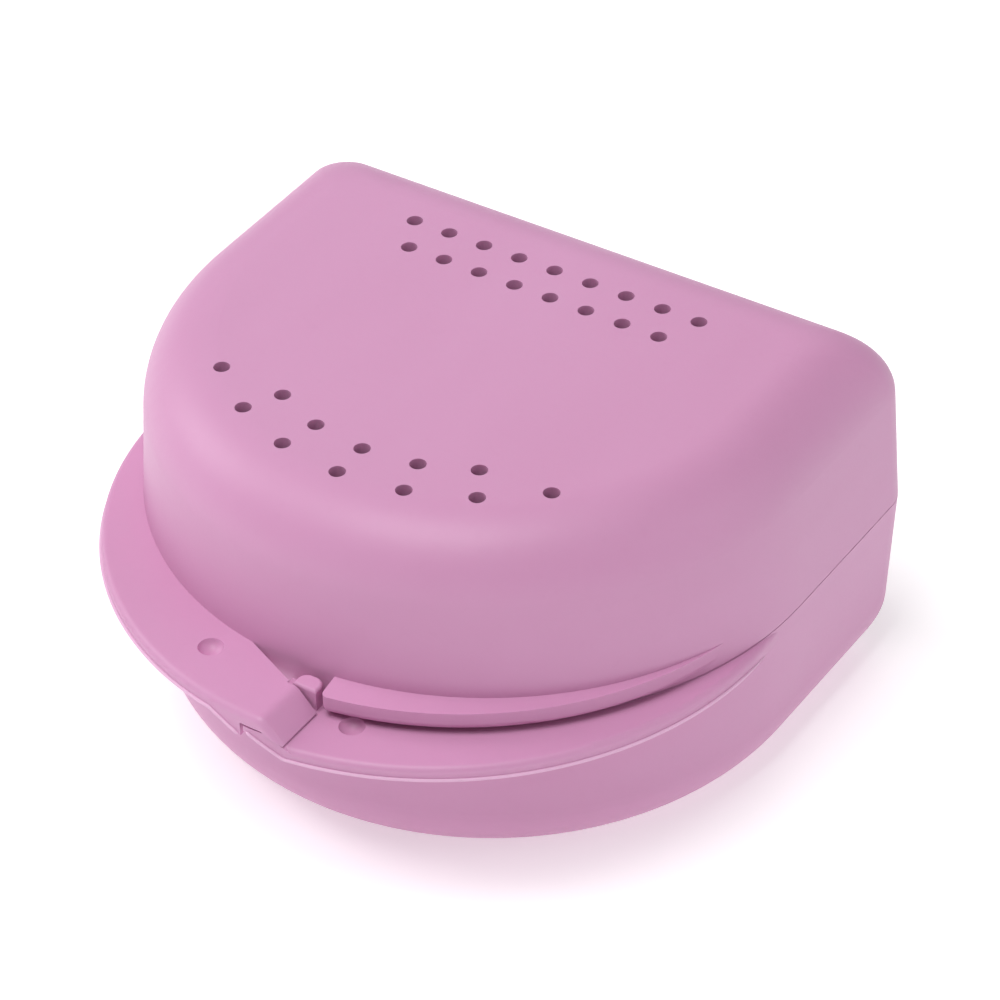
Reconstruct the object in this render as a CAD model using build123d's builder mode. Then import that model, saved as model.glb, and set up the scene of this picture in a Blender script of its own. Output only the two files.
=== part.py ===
from build123d import *
import math
import os

# A mouthguard in its vented, D-shaped carrying case, in millimetres.
# +Z is up and the case stands on z = 0. -Y is the round front with the two finger tabs,
# +Y is the flat back with the hinge, and x = 0 is the middle of the case.

# ---- Case: overall sizes ------------------------------------------------------------------
case_half_width = 42.2  # radius of the round front at the parting plane
case_back_depth = 27.8  # from the centre of the round front to the back wall
half_height = 24.0  # height of the base, and of the lid above the parting plane
back_corner_radius = 5.2  # upright corners at the back
edge_round = 9.2  # big round along the lid's top edge and the base's bottom edge
draft = math.radians(3.4)  # the walls lean in, away from the parting plane
wall = 1.8
round_steps = 7  # sections that carry the big round

# ---- Parting line -------------------------------------------------------------------------
seam_gap = 0.12  # daylight between the two rims
rim_rise = 0.1  # the base's rim stands this far above its tab and its strip
lip_inset = 1.1  # outside of the wall to the locating lip that stands up inside the base's rim
lip_height = 1.6
lip_root = 1.0  # how far the lip reaches down along the wall
lip_proud = 0.15  # how far it stands in from the inside of the wall
lip_clearance = 0.25  # lip to lid, on the sides and on top

# ---- Finger tabs --------------------------------------------------------------------------
tab_reach = 10.3  # how far the tabs stand out from the front wall
tab_radius = 43.4  # outline of a tab
lid_tab_offset = 2.1  # middle of that outline, past the middle of the case
tab_thickness = 1.8
tab_step = 3.1  # the lid's tab lies this far above the base's tab
tab_edge_round = 0.8
bend_round = 1.5  # eases the ends of the ramp and of the lug
ramp_start = 2.6  # the lid's tab ramps down to the base's tab from here
ramp_end = 5.2
foot_thickness = 0.15  # thin end of the ramp
tab_gap = 0.2  # lid's ramp to base's tongue
tongue_end = 0.1  # the base's tab bends up into a tongue below the ramp
tongue_thickness = 0.7
lug_start = -4.9  # wedge below the end of the lid's tab
lug_end = -0.4
lug_depth = 1.8
dimple_radius = 1.55
dimple_depth = 1.1
dimple_x = 9.7
dimple_inset = 7.7  # from the tip of a tab

# ---- Rim strip, beside each tab -------------------------------------------------------------
strip_front = 3.5  # stands out this far next to the catch
strip_middle = 2.4
strip_start_angle = 7.3  # measured at the centre of the round front, from -Y
strip_middle_angle = 34.0
strip_end_angle = 75.0
strip_root = 1.6  # depth of its root in the wall
strip_gap = 0.75  # under the lid's strip
strip_edge_round = 0.5
strip_low_round = 0.9  # lower edge of the lid's strip
strip_corner_round = 0.8  # outer corner of the end beside the catch

# ---- Catch post -----------------------------------------------------------------------------
post_centre_x = 3.3
post_width = 3.2
post_wall_gap = 0.4  # post to the lid's front wall
post_length = 2.3
post_clearance = 0.4  # post to the edges of the slot in the lid's rim
post_corner_round = 1.3  # towards the wall
post_edge_round = 0.4
slit_length = 8.0  # the slot narrows to nothing this far to the left of the post
slit_width = 2.8  # its width beside the post

# ---- Vents ----------------------------------------------------------------------------------
vent_radius = 1.0
vent_pitch = 5.0
vent_row_counts = (9, 8)
vent_row_inset = 14.0  # first straight row, behind the centre of the round front
vent_arc_radii = (32.0, 27.0)
vent_arc_counts = (7, 5)
vent_arc_step = 15.0  # degrees between the vents of an arc

# ---- Hinge ----------------------------------------------------------------------------------
hinge_offset = 2.6  # axis to the outside of the back wall
knuckle_radius = 2.1
trunnion_radius = 1.2
trunnion_clearance = 0.05
hinge_spacing = 44.0  # between the two hinge groups
arm_width = 7.0  # lid's arm
ear_width = 2.6  # each of the base's two ears
ear_gap = 0.3  # arm to ear
gusset_height = 8.0
gusset_start = 2.0  # the roots begin this far from the parting plane
root_depth = 1.4  # how far a root is buried in the wall

# ---- Mouthguard -----------------------------------------------------------------------------
guard_side_gap = 1.0  # to where the case's walls begin to round, left and right
guard_back_gap = 0.9  # the same at the back
guard_band = 13.6  # width of the arch, cheek side to tongue side
guard_height = 20.0  # at the front
guard_back_height = 14.0  # at the last molars
guard_inner_height = 12.0  # tongue side
guard_cheek_wall = 2.0
guard_tongue_wall = 1.7
guard_bite_thickness = 2.2
guard_seat_gap = 0.1  # bite side to the floor of the base
liner_thickness = 1.3
guard_edge_round = 1.0

# ---- Worked out -----------------------------------------------------------------------------
# The centre of the round front is placed so that the closed case is centred on the origin.
arc_y = (case_half_width + tab_reach - case_back_depth - hinge_offset - knuckle_radius) / 2
parting_z = half_height
lid_rim_z = parting_z + seam_gap
front_y = arc_y - case_half_width
back_y = arc_y + case_back_depth
tip_y = front_y - tab_reach
hinge_y = back_y + hinge_offset
base_tab_top = parting_z - rim_rise
base_tab_low = base_tab_top - tab_thickness
base_tab_offset = tab_radius - case_half_width  # tangent to the case's half width
lid_tab_top = parting_z + tab_step
lid_tab_low = lid_tab_top - tab_thickness
round_centre_h = half_height - edge_round
round_centre_inset = edge_round * math.cos(draft) + (
    round_centre_h + edge_round * math.sin(draft)
) * math.tan(draft)
far = 3 * case_half_width  # longer than anything it cuts


def draw_case_plan(inset, corner_inset=None):
    """Draw the D-shaped plan of the case in the open sketch, drawn in by inset all round.

    The back corners' radius shrinks with it, or by corner_inset where that is given.
    """
    half = case_half_width - inset
    back = back_y - inset
    corner = back_corner_radius - (inset if corner_inset is None else corner_inset)
    with BuildLine() as outline:
        ThreePointArc((-half, arc_y), (0, arc_y - half), (half, arc_y))
        Line((half, arc_y), (half, back - corner))
        RadiusArc((half, back - corner), (half - corner, back), -corner)
        Line((half - corner, back), (corner - half, back))
        RadiusArc((corner - half, back), (-half, back - corner), -corner)
        Line((-half, back - corner), (-half, arc_y))
    make_face(outline.edges())


def make_half(thickness, up):
    """Solid half of the case, up = 1 for the lid and -1 for the base, drawn in by thickness.

    A wall with draft, then the big round as a smooth skin over sections between the two.
    """
    radius = edge_round - thickness
    wall_height = round_centre_h + radius * math.sin(draft)
    wall_inset = round_centre_inset - radius * math.cos(draft)
    with BuildPart() as upright:
        with BuildSketch(Plane.XY.offset(parting_z)):
            draw_case_plan(thickness / math.cos(draft))
        extrude(amount=up * wall_height, taper=math.degrees(draft))
    with BuildPart() as rounded:
        for step in range(round_steps):
            turn = draft + (math.pi / 2 - draft) * step / (round_steps - 1)
            height = round_centre_h + radius * math.sin(turn)
            inset = round_centre_inset - radius * math.cos(turn)
            with BuildSketch(Plane.XY.offset(parting_z + up * height)):
                draw_case_plan(inset, wall_inset)
        loft()
    with BuildPart() as whole:
        add(upright.part)
        add(rounded.part)
    return whole.part


def make_tab(side, offset, section, bends, flat_top):
    """Tab of one half, side = -1 is the left one: a disc cut to a section of (x, z) corners.

    The corners in bends are eased, and so is the rim of the flat top. It is rooted in the wall.
    """
    low = min(corner[1] for corner in section)
    top = max(corner[1] for corner in section)
    centre_y = tip_y + tab_radius
    with BuildPart() as tab:
        with BuildSketch(Plane.XY.offset(low)):
            with Locations((-side * offset, centre_y)):
                Circle(tab_radius)
            with Locations((0, arc_y)):
                Rectangle(far, far, align=(Align.CENTER, Align.MAX), mode=Mode.INTERSECT)
        extrude(amount=top - low)
        with BuildSketch(Plane.XZ) as outline:
            with BuildLine():
                Polyline(*section, close=True)
            make_face()
            for x, z in bends:
                fillet(outline.vertices().sort_by_distance((x, z, 0))[0], bend_round)
        extrude(amount=far, both=True, mode=Mode.INTERSECT)
        rims = tab.edges().filter_by(GeomType.CIRCLE).sort_by(SortBy.LENGTH)
        fillet([rim for rim in rims if math.isclose(rim.center().Z, flat_top)][-1], tab_edge_round)
        with BuildSketch(Plane.XY.offset(low)):
            draw_case_plan(wall / 2)
        extrude(amount=top - low, mode=Mode.SUBTRACT)
    return tab.part


def polar_point(radius, angle):
    """Point at radius from the centre of the round front, angle in degrees from -Y."""
    turn = math.radians(angle)
    return (radius * math.sin(turn), arc_y - radius * math.cos(turn))


def make_strip(side, low, top, low_round):
    """Rim strip beside a tab, side = -1 is the left one, until it runs into the wall."""
    root = case_half_width - strip_root
    start = polar_point(case_half_width + strip_front, strip_start_angle)
    middle = polar_point(case_half_width + strip_middle, strip_middle_angle)
    end = polar_point(case_half_width - wall / 4, strip_end_angle)
    inner_end = polar_point(root, strip_end_angle)
    inner_middle = polar_point(root, strip_middle_angle)
    inner_start = polar_point(root, strip_start_angle)
    corners = (start, middle, end, inner_end, inner_middle, inner_start)
    points = [(side * x, y) for x, y in corners]
    with BuildPart() as strip:
        with BuildSketch(Plane.XY.offset(low)) as outline:
            with BuildLine():
                ThreePointArc(points[0], points[1], points[2])
                Line(points[2], points[3])
                ThreePointArc(points[3], points[4], points[5])
                Line(points[5], points[0])
            make_face()
            corner = outline.vertices().sort_by_distance((points[0][0], points[0][1], low))[0]
            fillet(corner, strip_corner_round)
        extrude(amount=top - low)
        outside = strip.faces().filter_by(GeomType.CYLINDER).sort_by(SortBy.AREA)[-1]
        fillet(outside.edges().filter_by(GeomType.CIRCLE).sort_by(Axis.Z)[0], low_round)
        outside = strip.faces().filter_by(GeomType.CYLINDER).sort_by(SortBy.AREA)[-1]
        fillet(outside.edges().filter_by(GeomType.CIRCLE).sort_by(Axis.Z)[-1], strip_edge_round)
    return strip.part


def make_knuckle(centre_x, width, up):
    """Plate with a round end on the hinge axis and its root in the wall, up as in make_half."""
    root_y = back_y - root_depth
    near_z = parting_z + up * gusset_start
    far_z = parting_z + up * gusset_height
    with BuildPart() as knuckle:
        with BuildSketch(Plane.YZ.offset(centre_x)):
            with Locations((hinge_y, parting_z)):
                Circle(knuckle_radius)
            with BuildLine():
                Polyline((root_y, near_z), (back_y, near_z), (back_y, far_z), (root_y, far_z), close=True)
            make_face()
            make_hull()
        extrude(amount=width / 2, both=True)
    return knuckle.part


def draw_arch(outer_radius, inner_radius):
    """Draw the horseshoe plan of a tooth arch in the open sketch, with round ends."""
    middle = (outer_radius + inner_radius) / 2
    leg_end = arc_y + guard_leg_length
    end_tip = leg_end + (outer_radius - inner_radius) / 2
    with BuildLine() as outline:
        ThreePointArc((-outer_radius, arc_y), (0, arc_y - outer_radius), (outer_radius, arc_y))
        Line((outer_radius, arc_y), (outer_radius, leg_end))
        ThreePointArc((outer_radius, leg_end), (middle, end_tip), (inner_radius, leg_end))
        Line((inner_radius, leg_end), (inner_radius, arc_y))
        ThreePointArc((inner_radius, arc_y), (0, arc_y - inner_radius), (-inner_radius, arc_y))
        Line((-inner_radius, arc_y), (-inner_radius, leg_end))
        ThreePointArc((-inner_radius, leg_end), (-middle, end_tip), (-outer_radius, leg_end))
        Line((-outer_radius, leg_end), (-outer_radius, arc_y))
    make_face(outline.edges())


def make_gum_trim():
    """What is cut off above the gum line: it falls to the back, and is low on the tongue side."""
    front = arc_y - guard_half_width / 2
    back = arc_y + guard_leg_length + guard_band
    with BuildPart() as trim:
        with BuildSketch(Plane.YZ):
            with BuildLine():
                Polyline(
                    (front - far, guard_top_z),
                    (front, guard_top_z),
                    (back, guard_floor_z + guard_back_height),
                    (back, guard_floor_z + far),
                    (front - far, guard_floor_z + far),
                    close=True,
                )
            make_face()
        extrude(amount=far, both=True)
        with BuildSketch(Plane.XY.offset(guard_floor_z + guard_inner_height)):
            with Locations((0, arc_y)):
                Circle(guard_half_width - guard_band / 2)
                Rectangle(2 * guard_half_width - guard_band, far, align=(Align.CENTER, Align.MIN))
        extrude(amount=far)
    return trim.part


hinge_xs = (-hinge_spacing / 2, hinge_spacing / 2)
ear_offset = arm_width / 2 + ear_gap + ear_width / 2
trunnion_length = arm_width + 2 * (ear_gap + ear_width)
post_y = front_y - post_wall_gap - post_length / 2
slot_front_y = post_y - post_length / 2 - post_clearance
slot_left_x = post_centre_x - post_width / 2 - post_clearance
slot_back_y = front_y + wall / 2
dimple_y = tip_y + dimple_inset
dimple_ball = (dimple_radius**2 + dimple_depth**2) / (2 * dimple_depth)
foot_low = base_tab_top + tab_gap
foot_top = foot_low + foot_thickness
tongue_top = lid_tab_low - tab_gap / 2
ramp_low = lid_tab_low + tab_gap
ramp_fall = (ramp_low - foot_low) / (ramp_end - ramp_start)
guard_half_width = case_half_width - round_centre_inset - guard_side_gap
guard_leg_length = case_back_depth - round_centre_inset - guard_back_gap - guard_band / 2
guard_floor_z = wall + guard_seat_gap
guard_top_z = guard_floor_z + guard_height
channel_z = guard_floor_z + guard_bite_thickness
channel_outer = guard_half_width - guard_cheek_wall
channel_inner = guard_half_width - guard_band + guard_tongue_wall

# The lid's tab, seen from the front: flat, a wedge-shaped lug below its end, then the ramp.
lid_tab_bends = [(lug_start, lid_tab_low), (ramp_start, lid_tab_top)]
lid_tab_section = [
    (-far, lid_tab_low),
    (lug_start, lid_tab_low),
    (lug_end, lid_tab_low - lug_depth),
    (lug_end, ramp_low),
    (ramp_start, ramp_low),
    (ramp_end, foot_low),
    (ramp_end, foot_top),
    (ramp_start, lid_tab_top),
    (-far, lid_tab_top),
]
# The base's tab: flat, and at its end a tongue that bends up below the ramp.
tongue_bend_x = ramp_end - (tongue_top - base_tab_top) / ramp_fall
base_tab_bends = [(ramp_end, base_tab_low)]
base_tab_section = [
    (far, base_tab_top),
    (ramp_end, base_tab_top),
    (tongue_bend_x, tongue_top),
    (tongue_end, tongue_top),
    (tongue_end, tongue_top - tongue_thickness),
    (ramp_end, base_tab_low),
    (far, base_tab_low),
]

# ---- Base -----------------------------------------------------------------------------------
with BuildPart() as catch_post:
    # Round towards the lid's wall.
    with BuildSketch(Plane.XY.offset(base_tab_top)) as post_plan:
        with Locations((post_centre_x, post_y)):
            Rectangle(post_width, post_length)
        fillet(post_plan.vertices().group_by(Axis.Y)[-1], post_corner_round)
    extrude(amount=tab_step)
    fillet(catch_post.edges().group_by(Axis.Z)[-1], post_edge_round)

with BuildPart() as base_tab:
    add(make_tab(1, base_tab_offset, base_tab_section, base_tab_bends, base_tab_top))
    # The tongue stays clear of the lid's wall.
    with BuildSketch(Plane.XY.offset(base_tab_top)):
        draw_case_plan(-post_clearance)
    extrude(amount=tab_step, mode=Mode.SUBTRACT)
    add(catch_post.part)

with BuildPart() as lip:
    with BuildSketch(Plane.XY.offset(parting_z - lip_root)):
        draw_case_plan(lip_inset)
    extrude(amount=lip_root + lip_height)
    with BuildSketch(Plane.XY.offset(parting_z - lip_root)):
        draw_case_plan(wall / math.cos(draft) + lip_proud)
    extrude(amount=lip_root + lip_height, mode=Mode.SUBTRACT)

with BuildPart() as base:
    add(make_half(0, -1))
    add(make_half(wall, -1), mode=Mode.SUBTRACT)
    add(lip.part)
    add(base_tab.part)
    add(make_strip(-1, base_tab_low, base_tab_top, strip_edge_round))
    for hinge_x in hinge_xs:
        for ear_side in (-1, 1):
            add(make_knuckle(hinge_x + ear_side * ear_offset, ear_width, -1))
    with Locations((dimple_x, dimple_y, base_tab_top - dimple_depth + dimple_ball)):
        Sphere(dimple_ball, mode=Mode.SUBTRACT)
    with BuildSketch(Plane.YZ.offset(-far / 2)):
        with Locations((hinge_y, parting_z)):
            Circle(trunnion_radius + trunnion_clearance)
    extrude(amount=far, mode=Mode.SUBTRACT)
base.part.label = "base"

# ---- Lid ------------------------------------------------------------------------------------
with BuildPart() as lid_tab:
    add(make_tab(-1, lid_tab_offset, lid_tab_section, lid_tab_bends, lid_tab_top))
    # Slot that the catch post stands in, with a slit that narrows along the wall.
    with BuildSketch(Plane.XY.offset(lid_tab_low - lug_depth)):
        with BuildLine():
            Polyline(
                (far, slot_front_y),
                (slot_left_x, slot_front_y),
                (slot_left_x, front_y - slit_width),
                (slot_left_x - slit_length, slot_back_y),
                (far, slot_back_y),
                close=True,
            )
        make_face()
    extrude(amount=lug_depth + tab_thickness, mode=Mode.SUBTRACT)

with BuildPart() as lid:
    add(make_half(0, 1))
    add(make_half(wall, 1), mode=Mode.SUBTRACT)
    add(lid_tab.part)
    add(make_strip(1, base_tab_top + strip_gap, lid_tab_top, strip_low_round))
    for hinge_x in hinge_xs:
        add(make_knuckle(hinge_x, arm_width, 1))
        with BuildSketch(Plane.YZ.offset(hinge_x)):
            with Locations((hinge_y, parting_z)):
                Circle(trunnion_radius)
        extrude(amount=trunnion_length / 2, both=True)
    # Rim: cut back to the seam, and stepped for the base's lip.
    with BuildSketch(Plane.XY.offset(lid_rim_z)):
        draw_case_plan(-post_clearance)
    extrude(amount=-half_height, mode=Mode.SUBTRACT)
    with BuildSketch(Plane.XY.offset(parting_z)):
        draw_case_plan(lip_inset - lip_clearance)
    extrude(amount=lip_height + lip_clearance, mode=Mode.SUBTRACT)
    with Locations((-dimple_x, dimple_y, lid_tab_top - dimple_depth + dimple_ball)):
        Sphere(dimple_ball, mode=Mode.SUBTRACT)
    # Vents: two straight rows at the back, staggered, and two arcs along the front.
    with BuildSketch(Plane.XY.offset(2 * half_height)):
        for row, count in enumerate(vent_row_counts):
            with Locations((0, arc_y + vent_row_inset - row * vent_pitch)):
                with GridLocations(vent_pitch, vent_pitch, count, 1):
                    Circle(vent_radius)
        with Locations((0, arc_y)):
            for radius, count in zip(vent_arc_radii, vent_arc_counts):
                spread = vent_arc_step * (count - 1)
                with PolarLocations(radius, count, -90 - spread / 2, spread, endpoint=True):
                    Circle(vent_radius)
    extrude(amount=-half_height / 2, mode=Mode.SUBTRACT)
lid.part.label = "lid"

# ---- Mouthguard -----------------------------------------------------------------------------
with BuildPart() as mouthguard_shell:
    with BuildSketch(Plane.XY.offset(guard_floor_z)):
        draw_arch(guard_half_width, guard_half_width - guard_band)
    extrude(amount=guard_height)
    with BuildSketch(Plane.XY.offset(channel_z)):
        draw_arch(channel_outer, channel_inner)
    extrude(amount=guard_height, mode=Mode.SUBTRACT)
    add(make_gum_trim(), mode=Mode.SUBTRACT)
    bite_edges = mouthguard_shell.edges().group_by(Axis.Z)[0]
    fillet(bite_edges, guard_edge_round)
mouthguard_shell.part.label = "mouthguard_shell"

with BuildPart() as mouthguard_liner:
    with BuildSketch(Plane.XY.offset(channel_z)):
        draw_arch(channel_outer, channel_inner)
    extrude(amount=guard_height)
    with BuildSketch(Plane.XY.offset(channel_z + liner_thickness)):
        draw_arch(channel_outer - liner_thickness, channel_inner + liner_thickness)
    extrude(amount=guard_height, mode=Mode.SUBTRACT)
    add(make_gum_trim(), mode=Mode.SUBTRACT)
mouthguard_liner.part.label = "mouthguard_liner"

# ---- Write one file for each piece ------------------------------------------------------------
os.makedirs("parts", exist_ok=True)
for piece in (base.part, lid.part, mouthguard_shell.part, mouthguard_liner.part):
    export_step(piece, f"parts/{piece.label}.step")
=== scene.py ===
"""Looks for a mouthguard in its vented, D-shaped carrying case."""

import logging
import math
from dataclasses import dataclass, field, replace
from enum import Enum
from typing import Any

import bpy
import numpy as np
from mathutils import Matrix, Vector


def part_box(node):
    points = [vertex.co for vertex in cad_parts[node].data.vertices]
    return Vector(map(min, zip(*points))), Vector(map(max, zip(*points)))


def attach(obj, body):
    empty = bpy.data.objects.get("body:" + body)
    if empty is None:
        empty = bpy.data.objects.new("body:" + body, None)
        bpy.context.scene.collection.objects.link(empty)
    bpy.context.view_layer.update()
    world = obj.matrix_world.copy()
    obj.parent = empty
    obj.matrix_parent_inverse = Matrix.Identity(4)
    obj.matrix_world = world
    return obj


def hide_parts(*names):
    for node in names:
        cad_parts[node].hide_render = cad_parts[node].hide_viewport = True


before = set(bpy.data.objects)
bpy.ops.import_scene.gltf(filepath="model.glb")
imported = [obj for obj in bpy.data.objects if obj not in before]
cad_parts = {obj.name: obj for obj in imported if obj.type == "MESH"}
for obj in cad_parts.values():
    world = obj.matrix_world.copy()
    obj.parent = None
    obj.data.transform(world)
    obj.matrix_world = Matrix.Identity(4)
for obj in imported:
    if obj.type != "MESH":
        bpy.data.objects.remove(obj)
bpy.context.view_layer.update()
LOG = logging.getLogger("mouthguard_case")
MM = 0.001
Colour = tuple[float, float, float, float]


class Body(Enum):
    """Bodies that the pieces ride on."""

    BASE = "base"
    LID = "lid"
    MOUTHGUARD = "mouthguard"


class Slot(Enum):
    """Material slots of the record."""

    CASE = "case_plastic"
    RUBBER = "guard_rubber"
    GEL = "guard_gel"


class Socket:
    """An output socket on which Python arithmetic adds Math nodes."""

    def __init__(self, shader: "Shader", link: bpy.types.NodeSocket) -> None:
        """Wraps link, a socket of shader's node tree."""
        self.shader = shader
        self.link = link

    def _maths(self, operation: str, first: Any, second: Any) -> "Socket":
        """Adds one Math node.

        Args:
            operation: name of the Math node's operation.
            first: socket or number on its left.
            second: socket or number on its right.

        Returns:
            The node's value.
        """
        return self.shader.node("ShaderNodeMath", {"operation": operation}, {0: first, 1: second})

    def __add__(self, other: Any) -> "Socket":
        """Sum."""
        return self._maths("ADD", self, other)

    __radd__ = __add__

    def __mul__(self, other: Any) -> "Socket":
        """Product."""
        return self._maths("MULTIPLY", self, other)

    __rmul__ = __mul__


class Shader:
    """A material's node tree, with one method that adds a node."""

    def __init__(self, name: str) -> None:
        """Starts an empty material called name."""
        self.material = bpy.data.materials.new(name)
        self.material.use_nodes = True
        self.tree = self.material.node_tree
        self.tree.nodes.clear()

    def node(
        self,
        kind: str,
        settings: dict[str, Any] | None = None,
        inputs: dict[str | int, Any] | None = None,
        output: str | int = 0,
    ) -> Socket:
        """Adds a node.

        Args:
            kind: Blender's type name for it.
            settings: the node's properties, which are set before its sockets.
            inputs: value or Socket for each input, by name or number.
            output: the output that is returned, by name or number.

        Returns:
            That output, or the first input of a node that has no outputs.
        """
        made = self.tree.nodes.new(kind)
        for name, value in (settings or {}).items():
            setattr(made, name, value)
        for name, value in (inputs or {}).items():
            if isinstance(value, Socket):
                self.tree.links.new(value.link, made.inputs[name])
            else:
                made.inputs[name].default_value = value
        return Socket(self, made.outputs[output] if made.outputs else made.inputs[0])

    def place(self, scale: tuple[float, float, float] = (1.0, 1.0, 1.0)) -> Socket:
        """Object coordinates in metres, stretched by scale.

        Args:
            scale: factor for each axis.

        Returns:
            The coordinates.
        """
        where = self.node("ShaderNodeTexCoord", output="Object")
        return self.node("ShaderNodeMapping", inputs={"Vector": where, "Scale": scale})

    def noise(self, where: Socket, per_metre: float, detail: float) -> Socket:
        """Noise from 0 to 1.

        Args:
            where: coordinates.
            per_metre: lumps to a metre.
            detail: finer octaves.

        Returns:
            The noise's value.
        """
        return self.node(
            "ShaderNodeTexNoise", inputs={"Vector": where, "Scale": per_metre, "Detail": detail}
        )

    def ramp(self, value: Socket, start: float, end: float) -> Socket:
        """A value stretched so that start becomes 0 and end becomes 1, kept between the two.

        Args:
            value: what is stretched.
            start: value that gives 0.
            end: value that gives 1.

        Returns:
            The stretched value.
        """
        return self.node(
            "ShaderNodeMapRange", {"clamp": True}, {"Value": value, "From Min": start, "From Max": end}
        )

    def blend(self, factor: Socket, first: Any, second: Any) -> Socket:
        """Colour between first and second.

        Args:
            factor: 0 for first, 1 for second.
            first: colour or Socket.
            second: colour or Socket.

        Returns:
            The mixed colour.
        """
        colours = {0: factor, 6: first, 7: second}
        return self.node("ShaderNodeMix", {"data_type": "RGBA"}, colours, output=2)

    def bump(self, height: Socket, depth: float) -> Socket:
        """Normal bumped by height.

        Args:
            height: how high the surface is drawn.
            depth: metres to one unit of height.

        Returns:
            The bumped normal.
        """
        return self.node(
            "ShaderNodeBump", inputs={"Height": height, "Distance": depth, "Strength": 1.0}
        )

    def finish(self, inputs: dict[str | int, Any]) -> bpy.types.Material:
        """Closes the tree with a Principled shader.

        Args:
            inputs: its sockets.

        Returns:
            The material.
        """
        surface = self.node("ShaderNodeBsdfPrincipled", inputs=inputs)
        self.node("ShaderNodeOutputMaterial", inputs={"Surface": surface})
        return self.material


@dataclass(frozen=True)
class CasePlastic:
    """Satin polypropylene straight from the mould: a fine spark-eroded grain over faint flow."""

    name: str = "case_plastic_satin"
    colour: Colour = (0.625, 0.300, 0.500, 1.0)
    flow_colour: Colour = (0.595, 0.275, 0.465, 1.0)
    flow_size: float = 0.030
    flow_stretch: tuple[float, float, float] = (1.0, 0.35, 1.6)
    flow_range: tuple[float, float] = (0.35, 0.68)
    flow_tint: float = 0.75
    flow_dulling: float = 0.03
    speck_range: tuple[float, float] = (0.62, 0.80)
    speck_tint: float = 0.18
    grain_size: float = 0.00045
    grain_depth: float = 0.000012
    swell_size: float = 0.009
    swell_depth: float = 0.00006
    roughness: tuple[float, float] = (0.40, 0.50)

    def make(self) -> bpy.types.Material:
        """Builds the material: slow flow tints the colour, grain and swell bump it.

        Returns:
            The material.
        """
        shader = Shader(self.name)
        where = shader.place()
        drawn = shader.place(self.flow_stretch)
        flow = shader.ramp(shader.noise(drawn, 1 / self.flow_size, 3.0), *self.flow_range)
        speck = shader.ramp(shader.noise(where, 1 / (3 * self.grain_size), 1.0), *self.speck_range)
        tint = flow * self.flow_tint + speck * self.speck_tint
        grain = shader.noise(where, 1 / self.grain_size, 2.0)
        swell = shader.noise(where, 1 / self.swell_size, 1.0)
        low, high = self.roughness
        height = grain * self.grain_depth + swell * self.swell_depth
        return shader.finish(
            {
                "Base Color": shader.blend(tint, self.colour, self.flow_colour),
                "Roughness": low + grain * (high - low) + flow * self.flow_dulling,
                "Normal": shader.bump(height, 1.0),
                "Subsurface Weight": 0.12,
                "Subsurface Radius": (0.9, 0.5, 0.7),
                "Subsurface Scale": 0.0015,
                "Specular IOR Level": 0.5,
                "IOR": 1.49,
            }
        )


@dataclass(frozen=True)
class GuardRubber:
    """Moulded EVA, charcoal with paler scuffs and small pits."""

    name: str = "guard_rubber_charcoal"
    colour: Colour = (0.030, 0.031, 0.036, 1.0)
    scuffed: Colour = (0.058, 0.058, 0.066, 1.0)
    scuff_size: float = 0.006
    scuff_range: tuple[float, float] = (0.45, 0.75)
    scuff_dulling: float = 0.14
    pit_size: float = 0.0008
    pit_depth: float = 0.00003
    pit_dulling: float = 0.06
    roughness: float = 0.42

    def make(self) -> bpy.types.Material:
        """Builds the material: scuffs change colour and roughness, pits bump it.

        Returns:
            The material.
        """
        shader = Shader(self.name)
        where = shader.place()
        scuff = shader.ramp(shader.noise(where, 1 / self.scuff_size, 5.0), *self.scuff_range)
        pits = shader.noise(where, 1 / self.pit_size, 2.0)
        return shader.finish(
            {
                "Base Color": shader.blend(scuff, self.colour, self.scuffed),
                "Roughness": self.roughness + scuff * self.scuff_dulling + pits * self.pit_dulling,
                "Normal": shader.bump(pits, self.pit_depth),
                "Specular IOR Level": 0.45,
            }
        )


@dataclass(frozen=True)
class GuardGel:
    """Soft lining gel, milky and slightly glossy, with a faint cloud in it."""

    name: str = "guard_gel_milky"
    colour: Colour = (0.72, 0.73, 0.76, 1.0)
    cloud: Colour = (0.60, 0.62, 0.67, 1.0)
    cloud_size: float = 0.008
    cloud_range: tuple[float, float] = (0.35, 0.70)
    ripple_size: float = 0.0022
    ripple_depth: float = 0.00005
    ripple_dulling: float = 0.12
    roughness: float = 0.26

    def make(self) -> bpy.types.Material:
        """Builds the material: a cloud tints the colour and a ripple bumps the soft skin.

        Returns:
            The material.
        """
        shader = Shader(self.name)
        where = shader.place()
        cloud = shader.ramp(shader.noise(where, 1 / self.cloud_size, 3.0), *self.cloud_range)
        ripple = shader.noise(where, 1 / self.ripple_size, 2.0)
        return shader.finish(
            {
                "Base Color": shader.blend(cloud, self.colour, self.cloud),
                "Roughness": self.roughness + ripple * self.ripple_dulling,
                "Normal": shader.bump(ripple, self.ripple_depth),
                "Subsurface Weight": 0.35,
                "Subsurface Radius": (1.0, 1.0, 1.1),
                "Subsurface Scale": 0.0015,
                "Coat Weight": 0.15,
            }
        )


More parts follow.
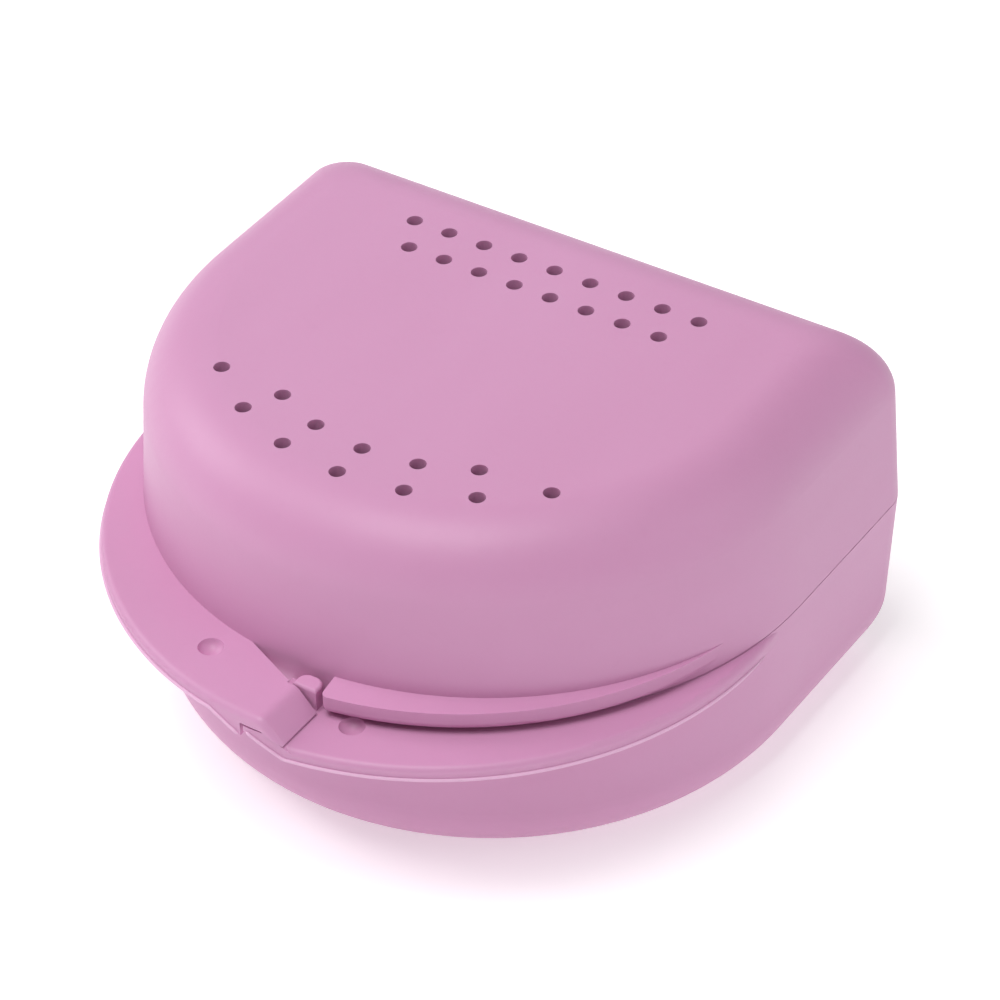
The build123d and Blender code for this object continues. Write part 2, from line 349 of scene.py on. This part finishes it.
@dataclass(frozen=True)
class FloorPaper:
    """Seamless white paper, faintly lit from below as on a product table."""

    name: str = "floor_paper"
    colour: Colour = (0.86, 0.86, 0.86, 1.0)
    fibre: Colour = (0.83, 0.83, 0.83, 1.0)
    fibres_per_metre: float = 900.0
    glow: float = 0.42

    def make(self) -> bpy.types.Material:
        """Builds the material: faint paper fibre in the colour.

        Returns:
            The material.
        """
        shader = Shader(self.name)
        fibre = shader.noise(shader.place(), self.fibres_per_metre, 3.0)
        return shader.finish(
            {
                "Base Color": shader.blend(fibre, self.colour, self.fibre),
                "Roughness": 0.9,
                "Specular IOR Level": 0.1,
                "Emission Color": (1.0, 1.0, 1.0, 1.0),
                "Emission Strength": self.glow,
            }
        )


def put_grid(name: str, grid: np.ndarray, material: bpy.types.Material) -> bpy.types.Object:
    """Makes a closed piece from a loop carried along a path.

    Point (i, j) is joined to its neighbours i + 1 and j + 1, where j wraps round. The first and
    last loop are closed with a fan to their middle. Faces are turned outwards by the sign of
    the enclosed volume.

    Args:
        name: of the piece.
        grid: stations x points x 3, in metres.
        material: its finish.

    Returns:
        The new object.
    """
    stations, around, _ = grid.shape
    index = np.arange(stations * around).reshape(stations, around)
    here, there = index[:-1], index[1:]
    quads = np.stack(
        [here, np.roll(here, -1, axis=1), np.roll(there, -1, axis=1), there], axis=-1
    ).reshape(-1, 4)
    triangles = np.concatenate([quads[:, [0, 1, 2]], quads[:, [0, 2, 3]]])
    first, last = stations * around, stations * around + 1
    start_fan = np.stack([np.roll(index[0], -1), index[0], np.full(around, first)], axis=-1)
    end_fan = np.stack([index[-1], np.roll(index[-1], -1), np.full(around, last)], axis=-1)
    points = np.concatenate([grid.reshape(-1, 3), grid[:1].mean(axis=1), grid[-1:].mean(axis=1)])
    loose = np.concatenate([triangles, start_fan, end_fan])
    a, b, c = (points[loose[:, k]] for k in range(3))
    outward = np.einsum("ij,ij->i", a, np.cross(b, c)).sum() > 0
    fans = np.concatenate([start_fan, end_fan])
    if not outward:
        quads, fans = quads[:, ::-1], fans[:, ::-1]
    mesh = bpy.data.meshes.new(name)
    mesh.from_pydata(points, [], [*quads.tolist(), *fans.tolist()])
    mesh.polygons.foreach_set("use_smooth", np.ones(len(mesh.polygons), dtype=bool))
    mesh.materials.append(material)
    mesh.update()
    piece = bpy.data.objects.new(name, mesh)
    bpy.context.scene.collection.objects.link(piece)
    return piece


def ease(value: np.ndarray) -> np.ndarray:
    """Smooth step: 3 t squared minus 2 t cubed, with t kept between 0 and 1."""
    t = np.clip(value, 0.0, 1.0)
    return t * t * (3 - 2 * t)


@dataclass
class Arch:
    """The horseshoe line that the mouthguard follows: a leg, half a circle, and a leg."""

    centre_y: float
    radius: float
    leg: float

    @property
    def length(self) -> float:
        """Whole length of the line."""
        return 2 * self.leg + math.pi * self.radius

    def follow(self, along: np.ndarray) -> tuple[np.ndarray, np.ndarray]:
        """Points on the line, and the way that faces the cheek.

        On the half circle the turn is the distance past the leg divided by the radius; the
        point is the centre less the radius times (cos, sin) of the turn. On a leg the turn
        stays at 0 or at pi, and the rest of the distance runs along y.

        Args:
            along: distances from the end of the left leg.

        Returns:
            Points and outward directions, each an array with a row of x and y per distance.
        """
        turn = np.clip((along - self.leg) / self.radius, 0.0, math.pi)
        outward = -np.stack([np.cos(turn), np.sin(turn)], axis=-1)
        points = self.radius * outward
        before = np.clip(self.leg - along, 0.0, None)
        after = np.clip(along - self.length + self.leg, 0.0, None)
        points[:, 1] += self.centre_y + before + after
        return points, outward


@dataclass
class Mouthguard:
    """A boil-and-bite mouthguard: a firm U-shaped shell with a soft gel lining."""

    rubber: GuardRubber
    gel: GuardGel
    stations: int = 260
    band: float = 13.6 * MM  # from the cheek side to the tongue side
    cheek_wall: float = 2.0 * MM
    tongue_wall: float = 1.7 * MM
    wall_share: float = 0.6  # most of the half band that a wall takes near a tip
    wall_rise: float = 7.5 * MM  # stretch at a tip over which the walls rise
    bite: float = 2.2 * MM  # plate between the teeth
    edge: float = 0.9 * MM  # round of the bottom edges
    edge_share: float = 0.45
    lean: float = 1.4 * MM  # of the walls' tops towards the tongue
    tongue_height: float = 12.0 * MM
    back_height: float = 14.0 * MM  # of the cheek wall
    fall_start: float = 15.0 * MM  # in front of the arch's centre
    fall_length: float = 39.0 * MM
    gum_wave: float = 0.35 * MM
    notch_depth: float = 3.6 * MM
    notch_width: float = 3.2 * MM
    tooth: float = 8.2 * MM  # from one tooth to the next
    dent: float = 0.55 * MM
    plate_dent: float = 0.2 * MM
    groove: float = 0.35 * MM
    groove_levels: tuple[float, ...] = (5.2 * MM, 8.4 * MM)
    groove_width: float = 0.55 * MM
    groove_end: float = 34.0 * MM  # from the front, along the arch
    groove_fade: float = 6.0 * MM
    bond: float = 0.06 * MM  # overlap of the lining and the shell
    lining: float = 1.3 * MM
    lining_share: float = 0.22
    lining_start: float = 2.2 * MM  # from a tip
    lining_rise: float = 6.5 * MM
    lining_skip: int = 6  # stations left out at each tip
    lip_drop: float = 0.9 * MM  # of the lining's edge below the wall's
    floor_dish: float = 0.25 * MM
    scallop: float = 0.30 * MM
    floor_z: float = field(init=False)
    height: float = field(init=False)
    arch: Arch = field(init=False)
    along: np.ndarray = field(init=False)
    points: np.ndarray = field(init=False)
    outward: np.ndarray = field(init=False)
    past_tip: np.ndarray = field(init=False)
    from_front: np.ndarray = field(init=False)
    half_band: np.ndarray = field(init=False)

    def __post_init__(self) -> None:
        """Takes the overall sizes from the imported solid, and works out the stations."""
        low, high = (Vector(corner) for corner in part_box("mouthguard_shell"))
        half = (high.x - low.x) / 2
        self.floor_z = low.z
        self.height = high.z - low.z
        radius = half - self.band / 2
        self.arch = Arch(low.y + half, radius, high.y - low.y - half)
        self.along = self._spread(self.arch.length)[:, None]
        self.points, self.outward = self.arch.follow(self.along[:, 0])
        self.past_tip = np.minimum(self.along, self.arch.length - self.along)
        self.from_front = self.along - self.arch.length / 2
        # The band narrows to a half circle in plan at both ends.
        turned = np.clip(1 - self.past_tip / (self.band / 2), 0.0, 1.0)
        self.half_band = self.band / 2 * np.sqrt(np.clip(1 - turned**2, 2e-5, 1.0))

    def _spread(self, length: float) -> np.ndarray:
        """Stations along the arch, closer together towards its two ends.

        The distance is length times (1 - cos(pi t)) / 2, averaged with length times t.
        """
        t = np.linspace(0.0, 1.0, self.stations)
        return length * (0.5 * t + 0.25 * (1 - np.cos(math.pi * t)))

    def _gum_height(self) -> np.ndarray:
        """Height of the cheek wall at each station.

        It falls in a line from the front to the molars, waves gently with the gum line, and
        has a notch at the front shaped as a bell curve for the lip's band.
        """
        past_start = self.points[:, 1:] - self.arch.centre_y + self.fall_start
        back = np.clip(past_start / self.fall_length, 0.0, 1.0)
        height = self.height - (self.height - self.back_height) * back
        height = height - self.gum_wave * (1 - np.cos(2 * math.pi * self.from_front / self.tooth))
        return height - self.notch_depth * np.exp(-((self.from_front / self.notch_width) ** 2))

    def _lay(self, loop: list[tuple[np.ndarray, np.ndarray]]) -> np.ndarray:
        """Carries a loop of (aside, up) arrays along the arch.

        A point is the arch's point plus aside times the outward direction, at up over the
        shell's floor.

        Args:
            loop: pairs of arrays, stations x points.

        Returns:
            The grid, stations x points x 3.
        """
        pairs = [np.broadcast_arrays(aside, up) for aside, up in loop]
        aside, up = (np.concatenate(arrays, axis=1) for arrays in zip(*pairs))
        flat = self.points[:, None, :] + aside[:, :, None] * self.outward[:, None, :]
        return np.concatenate([flat, (self.floor_z + up)[:, :, None]], axis=-1)

    @staticmethod
    def _bend(
        centre: tuple[Any, Any], radii: tuple[Any, Any], angles: tuple[float, float], count: int
    ) -> tuple[np.ndarray, np.ndarray]:
        """An elliptic arc: centre plus radii times the cosine and sine of the angle.

        Args:
            centre: aside and up of its centre, at each station.
            radii: its two radii, at each station.
            angles: first and last angle in degrees, 0 towards the cheek and 90 upwards.
            count: points on it.

        Returns:
            Its aside and up arrays.
        """
        turn = np.radians(np.linspace(*angles, count))[None, :]
        return centre[0] + radii[0] * np.cos(turn), centre[1] + radii[1] * np.sin(turn)

    @staticmethod
    def _run(start: tuple[Any, Any], end: tuple[Any, Any], count: int) -> tuple[np.ndarray, np.ndarray]:
        """Points between start and end, without the two.

        Args:
            start: aside and up at each station.
            end: the same for its end.
            count: points on it.

        Returns:
            Their aside and up arrays.
        """
        t = np.linspace(0.0, 1.0, count + 2)[None, 1:-1]
        return start[0] + (end[0] - start[0]) * t, start[1] + (end[1] - start[1]) * t

    def _teeth(self, share: np.ndarray) -> np.ndarray:
        """Dents of the teeth: a wave along the arch times a bump across the channel.

        Args:
            share: place across the channel, from -1 to 1.

        Returns:
            How deep the dent is, from 0 to 1.
        """
        wave = 0.5 + 0.5 * np.cos(2 * math.pi * self.from_front / self.tooth + math.pi)
        return wave**0.7 * (1 - share**2) ** 2

    def _lean_in(self, aside: np.ndarray, up: np.ndarray) -> np.ndarray:
        """Leans the walls towards the tongue by the square of the height, less near the tips.

        Args:
            aside: distance from the arch of each point.
            up: its height.

        Returns:
            The leant distance.
        """
        leant = self.lean * (np.clip(up, 0.0, None) / self.height) ** 2
        return aside - leant * self.half_band / (self.band / 2)

    def make_shell(self) -> bpy.types.Object:
        """Builds the firm shell.

        Going round: cheek side, cheek wall's top, channel, tongue wall's top, tongue side and
        the bite side below.

        Returns:
            The piece.
        """
        wide = self.half_band
        round_off = np.minimum(self.edge, self.edge_share * wide)
        narrow = wide / (self.band / 2)
        cheek = np.minimum(self.cheek_wall, self.wall_share * wide)
        tongue = np.minimum(self.tongue_wall, self.wall_share * wide)
        # Both walls sink into the bite plate over the last stretch.
        stand = ease(self.past_tip / self.wall_rise)
        plate = self.bite * (0.55 + 0.45 * narrow)
        cheek_top = plate + (self._gum_height() - cheek / 2 - plate) * stand
        tongue_top = plate + (self.tongue_height - tongue / 2 - plate) * stand
        share = np.linspace(-1.0, 1.0, 13)[None, 1:-1]
        channel = wide - (cheek + tongue) / 2
        middle = (tongue - cheek) / 2
        loop = [
            self._bend((wide - round_off, round_off), (round_off, round_off), (-90, 0), 7),
            self._run((wide, round_off), (wide, cheek_top), 22),
            self._bend((wide - cheek / 2, cheek_top), (cheek / 2, cheek / 2), (0, 180), 9),
            self._run((wide - cheek, cheek_top), (wide - cheek, plate), 10),
            (middle + channel * share[:, ::-1], plate - self.plate_dent * self._teeth(share)),
            self._run((tongue - wide, plate), (tongue - wide, tongue_top), 8),
            self._bend((tongue / 2 - wide, tongue_top), (tongue / 2, tongue / 2), (0, 180), 9),
            self._run((-wide, tongue_top), (-wide, round_off), 12),
            self._bend((round_off - wide, round_off), (round_off, round_off), (180, 270), 7),
            (share * (wide - round_off), self.dent * 0.8 * self._teeth(share) * narrow),
        ]
        loop[1] = (self._groove(*loop[1]), loop[1][1])
        leant = [(self._lean_in(aside, up), up) for aside, up in loop]
        piece = put_grid("mouthguard_shell_moulded", self._lay(leant), self.rubber.make())
        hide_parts("mouthguard_shell")
        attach(piece, Body.MOUTHGUARD.value)
        return piece

    def _groove(self, aside: np.ndarray, up: np.ndarray) -> np.ndarray:
        """Sinks two shallow grooves along the cheek side, shaped as bell curves of the height.

        Args:
            aside: distance from the arch of each point on the cheek side.
            up: its height.

        Returns:
            The grooved distance.
        """
        fade = ease((self.groove_end - np.abs(self.from_front)) / self.groove_fade)
        depth = sum(np.exp(-(((up - level) / self.groove_width) ** 2)) for level in self.groove_levels)
        return aside - self.groove * fade * depth

    def make_liner(self) -> bpy.types.Object:
        """Builds the gel lining, a thinner U that lies on the shell's channel.

        It overlaps the shell by a hair, because the two are bonded, and its floor and cheek
        side carry the dents of the teeth. Near each tip it narrows and stands off both walls.

        Returns:
            The piece.
        """
        wide = self.half_band
        cheek = np.minimum(self.cheek_wall, self.wall_share * wide) - self.bond
        tongue = np.minimum(self.tongue_wall, self.wall_share * wide) - self.bond
        thick = np.minimum(self.lining, self.lining_share * wide)
        ends = ease((self.past_tip - self.lining_start) / self.lining_rise)
        low = self.bite - 4 * self.bond
        floor = low + self.lining * (0.25 + 0.75 * ends)
        cheek_top = floor + (self._gum_height() - self.lip_drop - thick / 2 - floor) * ends
        tongue_top = floor + (self.tongue_height - self.lip_drop - thick / 2 - floor) * ends
        scale = 0.35 + 0.65 * ends
        right = (wide - cheek) * scale
        left = (tongue - wide) * scale
        share = np.linspace(-1.0, 1.0, 17)[None, 1:-1]
        half = (right - left) / 2 - thick
        middle = (right + left) / 2
        scallop = self.scallop * (1 - np.cos(2 * math.pi * self.from_front / self.tooth)) * ends
        inner_cheek = self._run((right - thick, cheek_top), (right - thick, floor), 14)
        fall = np.sin(np.linspace(0.0, math.pi, 16))[None, 1:-1]
        loop = [
            self._run((right, low), (right, cheek_top), 14),
            self._bend((right - thick / 2, cheek_top), (thick / 2, thick / 2), (0, 180), 7),
            (inner_cheek[0] - scallop * fall, inner_cheek[1]),
            (
                middle + half * share[:, ::-1],
                floor + self.floor_dish * share**2 - self.dent * self._teeth(share) * ends,
            ),
            self._run((left + thick, floor), (left + thick, tongue_top), 10),
            self._bend((left + thick / 2, tongue_top), (thick / 2, thick / 2), (0, 180), 7),
            self._run((left, tongue_top), (left, low), 10),
            (share * (right - left) / 2 + middle, low + 0 * wide),
        ]
        leant = [(self._lean_in(aside, up), up) for aside, up in loop]
        inside = self._lay(leant)[self.lining_skip : -self.lining_skip]
        piece = put_grid("mouthguard_gel_lining", inside, self.gel.make())
        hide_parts("mouthguard_liner")
        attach(piece, Body.MOUTHGUARD.value)
        return piece

    def build(self) -> list[bpy.types.Object]:
        """Builds both layers."""
        return [self.make_shell(), self.make_liner()]


@dataclass
class TabBead:
    """The fine raised line that the mould's parting leaves along a tab's lower edge."""

    name: str
    body: Body
    side: int
    bends: tuple[tuple[float, float], ...]
    off_middle: float
    sweep: float
    radius: float = 43.4 * MM
    width: float = 0.28 * MM
    height: float = 0.20 * MM
    lift: float = 0.9
    start_taper: float = 120.0
    end_taper: float = 8.0
    stations: int = 220
    around: int = 10

    def build(self, finish: bpy.types.Material) -> bpy.types.Object:
        """Carries a small ellipse along the tab's round outline.

        The outline is a circle about a centre off the middle of the case: x is the centre's
        plus the radius times the sine of the turn, y is the centre's less the radius times its
        cosine. The height of the lower edge runs in straight stretches between the bends, and
        the ellipse shrinks towards both ends as the square root of the distance to them.

        Args:
            finish: a lighter copy of the case's plastic, a painted highlight along the bead.

        Returns:
            The piece.
        """
        low = Vector(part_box(Body.LID.value)[0])
        centre = (-self.side * self.off_middle, low.y + self.radius)
        places, heights = (np.array(column) * MM for column in zip(*self.bends))
        first = math.asin((self.side * places[0] + self.off_middle) / self.radius)
        turn = self.side * np.linspace(first, self.sweep, self.stations)
        x = centre[0] + self.radius * np.sin(turn)
        up = np.interp(self.side * x, self.side * places, heights)
        spin = np.linspace(0.0, 2 * math.pi, self.around, endpoint=False)[None, :]
        to_end = np.minimum(
            np.abs(turn - turn[0]) * self.start_taper, np.abs(turn - turn[-1]) * self.end_taper
        )
        ends = np.sqrt(np.clip(to_end, 1e-3, 1.0))[:, None]
        out = self.radius + self.width * ends * np.cos(spin)
        grid = np.stack(
            [
                centre[0] + out * np.sin(turn)[:, None],
                centre[1] - out * np.cos(turn)[:, None],
                up[:, None] + self.height * (self.lift + ends * np.sin(spin)),
            ],
            axis=-1,
        )
        piece = put_grid(self.name, grid, finish)
        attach(piece, self.body.value)
        return piece


@dataclass
class Case:
    """The two moulded halves, which keep the shapes that they were packed with."""

    plastic: CasePlastic
    # Bead colours: a painted highlight, lighter than the case, for the bright line that light draws
    # along each tab's lower edge.
    edge: Colour = (0.74, 0.44, 0.63, 1.0)
    bead_highlight_flow: Colour = (0.71, 0.41, 0.60, 1.0)
    beads: tuple[TabBead, ...] = (
        TabBead(
            "lid_tab_bead", Body.LID, -1, ((-0.55, 23.5), (-4.9, 25.3), (-42.0, 25.3)), 2.1 * MM, 1.50
        ),
        TabBead(
            "base_tab_bead", Body.BASE, 1, ((0.4, 24.4), (5.2, 22.1), (42.0, 22.1)), 1.2 * MM, 1.60
        ),
    )

    def build(self) -> list[bpy.types.Object]:
        """Dresses the base and the lid in one plastic, and runs a bead along each tab in a lighter copy
        of it, a painted highlight.

        Returns:
            The two dressed nodes and the beads.
        """
        finish = self.plastic.make()
        halves = [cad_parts[body.value] for body in (Body.BASE, Body.LID)]
        for half in halves:
            if not half.material_slots:
                half.data.materials.append(None)
            for slot in half.material_slots:
                slot.material = finish
        # The beads' lighter copy of the plastic is a painted highlight along the tabs' lower edges.
        bead_highlight_plastic = replace(
            self.plastic, name="case_plastic_painted_highlight", colour=self.edge, flow_colour=self.bead_highlight_flow
        )
        bead_highlight_finish = bead_highlight_plastic.make()
        return halves + [bead.build(bead_highlight_finish) for bead in self.beads]


@dataclass
class Softbox:
    """A rectangular soft light that faces a point."""

    name: str
    place: tuple[float, float, float]
    size: tuple[float, float]
    power: float
    aim: tuple[float, float, float] = (0.0, 0.0, 0.03)

    def build(self) -> bpy.types.Object:
        """Adds the light.

        Returns:
            The light's object.
        """
        light = bpy.data.lights.new(self.name, "AREA")
        light.shape = "RECTANGLE"
        light.size, light.size_y = self.size
        light.energy = self.power
        lamp = bpy.data.objects.new(self.name, light)
        lamp.location = self.place
        way = Vector(self.aim) - Vector(self.place)
        lamp.rotation_euler = way.to_track_quat("-Z", "Y").to_euler()
        bpy.context.scene.collection.objects.link(lamp)
        return lamp


@dataclass
class Studio:
    """Camera, paper floor and soft lights."""

    paper: FloorPaper
    azimuth: float = 33.453
    elevation: float = 37.963
    roll: float = -1.102
    distance: float = 0.543632
    target: tuple[float, float, float] = (0.0, 0.024, 0.048)
    aside: tuple[float, float] = (0.007541, 0.026382)
    lens: float = 164.12
    shift: tuple[float, float] = (0.0086, -0.0083)
    sensor: float = 36.0
    clip: tuple[float, float] = (0.01, 20.0)
    floor_half: float = 1.6
    floor_points: int = 9
    sky: float = 0.24
    softboxes: tuple[Softbox, ...] = (
        Softbox("left_softbox", (-0.80, -0.15, 0.50), (0.40, 0.50), 3.0),
        Softbox("right_softbox", (0.85, 0.20, 0.42), (0.5, 0.6), 1.3),
        Softbox("top_softbox", (-0.05, -0.36, 1.10), (0.6, 0.6), 8.4),
        Softbox("back_softbox", (-0.50, 0.75, 0.70), (0.9, 0.6), 1.2),
    )

    def make_camera(self) -> bpy.types.Object:
        """Stands the camera off the target along its azimuth and elevation, then rolls it.

        Returns:
            The camera's object.
        """
        a, e, r = (math.radians(v) for v in (self.azimuth, self.elevation, self.roll))
        back = Vector((math.sin(a) * math.cos(e), -math.cos(a) * math.cos(e), math.sin(e)))
        right = Vector((math.cos(a), math.sin(a), 0.0))
        up = back.cross(right)
        across = right * math.cos(r) + up * math.sin(r)
        upwards = up * math.cos(r) - right * math.sin(r)
        place = Vector(self.target) + back * self.distance
        place -= across * self.aside[0] + upwards * self.aside[1]
        turned = Matrix((across, upwards, back)).transposed().to_4x4()
        data = bpy.data.cameras.new("camera")
        data.lens = self.lens
        data.sensor_width = self.sensor
        data.shift_x, data.shift_y = self.shift
        data.clip_start, data.clip_end = self.clip
        camera = bpy.data.objects.new("camera", data)
        camera.matrix_world = Matrix.Translation(place) @ turned
        bpy.context.scene.collection.objects.link(camera)
        bpy.context.scene.camera = camera
        return camera

    def make_floor(self) -> bpy.types.Object:
        """Lays the paper: a flat grid at z = 0.

        Returns:
            The floor's object.
        """
        side = np.linspace(-self.floor_half, self.floor_half, self.floor_points)
        x, y = np.meshgrid(side, side, indexing="ij")
        points = np.stack([x, y, np.zeros_like(x)], axis=-1).reshape(-1, 3)
        index = np.arange(self.floor_points**2).reshape(self.floor_points, -1)
        faces = np.stack([index[:-1, :-1], index[1:, :-1], index[1:, 1:], index[:-1, 1:]], axis=-1)
        mesh = bpy.data.meshes.new("studio_floor")
        mesh.from_pydata(points, [], faces.reshape(-1, 4).tolist())
        mesh.materials.append(self.paper.make())
        floor = bpy.data.objects.new("studio_floor", mesh)
        bpy.context.scene.collection.objects.link(floor)
        return floor

    def make_sky(self) -> None:
        """Fills the surroundings with an even white light."""
        world = bpy.data.worlds.new("studio")
        world.use_nodes = True
        behind = world.node_tree.nodes["Background"]
        behind.inputs["Color"].default_value = (1.0, 1.0, 1.0, 1.0)
        behind.inputs["Strength"].default_value = self.sky
        bpy.context.scene.world = world

    def build(self) -> None:
        """Sets up the whole studio."""
        self.make_sky()
        self.make_floor()
        self.make_camera()
        for softbox in self.softboxes:
            softbox.build()
        bpy.context.scene.view_settings.view_transform = "Standard"


def report(pieces: list[bpy.types.Object]) -> None:
    """Logs each piece with the number of its faces.

    Args:
        pieces: what was built or dressed.
    """
    for piece in pieces:
        LOG.info("%s: %d faces", piece.name, len(piece.data.polygons))


def main() -> None:
    """Builds the case, the mouthguard and the studio."""
    logging.basicConfig(level=logging.INFO)
    report(Case(CasePlastic()).build())
    report(Mouthguard(GuardRubber(), GuardGel()).build())
    Studio(FloorPaper()).build()
    bpy.context.view_layer.update()


if __name__ == "__main__":
    main()
